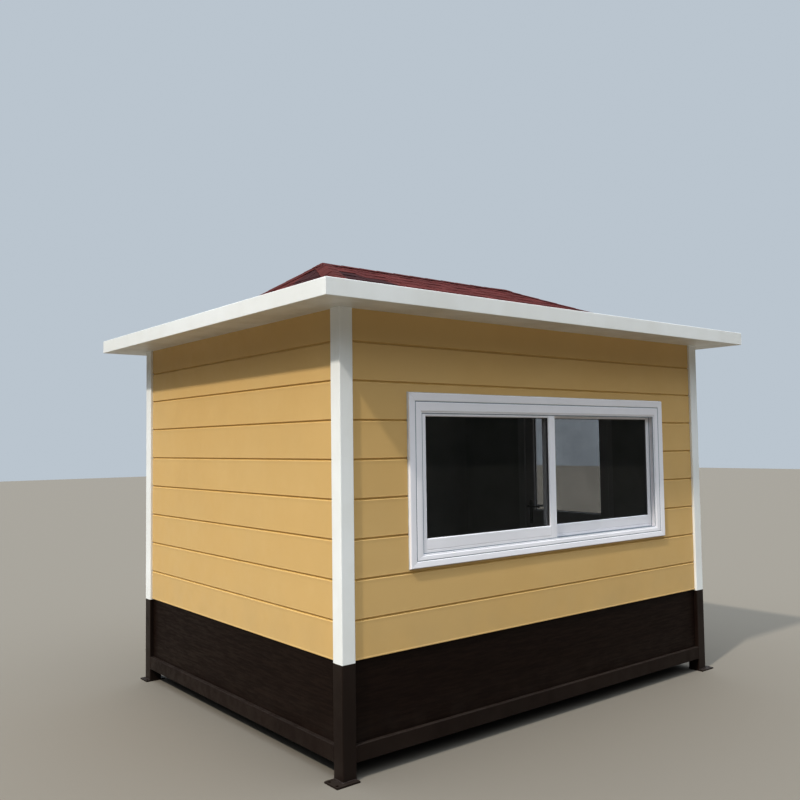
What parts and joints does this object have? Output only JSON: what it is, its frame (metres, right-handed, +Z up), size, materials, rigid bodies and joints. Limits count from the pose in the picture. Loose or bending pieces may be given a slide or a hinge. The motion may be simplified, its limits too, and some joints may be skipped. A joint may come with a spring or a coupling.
{
  "type": "container house",
  "caption": "Prefab guard booth on a steel frame with strip-faced walls, a wide sliding window, a boxed cornice, a low hip roof and a hinged half-glazed door.",
  "frame": {"origin": "on the ground under the centre of the frame", "axes": "+X to the right along the front, +Y to the back, +Z up; the window wall faces -Y"},
  "size_m": [3.456, 2.776, 2.727],
  "materials": {
    "white_steel": "satin paint",
    "black_steel": "satin paint, dusty",
    "dark_plinth": "matt paint",
    "ochre_siding": "matt, lightly textured",
    "red_shingle": "coarse mineral granules on felt",
    "roof_felt": "dark bitumen felt",
    "grey_floor": "matt",
    "white_panel": "matt",
    "dark_glass": "clear, tinted",
    "white_plastic": "semi-gloss",
    "dark_metal": "satin"
  },
  "bodies": {
    "cabin": {"foot_plates": "black_steel", "floor": "grey_floor", "ceiling": "white_panel", "roof_deck": "roof_felt", "roof_caps": "red_shingle", "post_front_left": "white_steel", "post_front_right": "white_steel", "post_back_left": "white_steel", "post_back_right": "white_steel", "rail_front": "black_steel", "beam_front": "white_steel", "cornice_front": "white_steel", "roof_slope_front": "red_shingle", "rail_back": "black_steel", "beam_back": "white_steel", "cornice_back": "white_steel", "roof_slope_back": "red_shingle", "rail_left": "black_steel", "beam_left": "white_steel", "cornice_left": "white_steel", "roof_slope_left": "red_shingle", "rail_right": "black_steel", "beam_right": "white_steel", "cornice_right": "white_steel", "roof_slope_right": "red_shingle", "plinth_front": "dark_plinth", "plinth_back": "dark_plinth", "plinth_left": "dark_plinth", "plinth_right_front": "dark_plinth", "plinth_right_back": "dark_plinth", "wall_front": "ochre_siding", "wall_back": "ochre_siding", "wall_left": "ochre_siding", "wall_right_front": "ochre_siding", "wall_right_back": "ochre_siding", "wall_over_door": "ochre_siding", "window_frame": "white_plastic", "window_sash_left": "white_plastic", "window_sash_right": "white_plastic", "window_glass": "dark_glass", "door_frame": "white_plastic"},
    "door": {"door_leaf": "white_plastic", "door_glass": "dark_glass", "door_handle": "dark_metal", "door_hinges": "dark_metal"}
  },
  "joints": [
    {"name": "door_swing", "type": "hinge", "parent": "cabin", "child": "door", "pos_m": [1.509, -0.4485, 1.122], "axis": [0, 0, -1], "range_deg": [0, 100]}
  ]
}
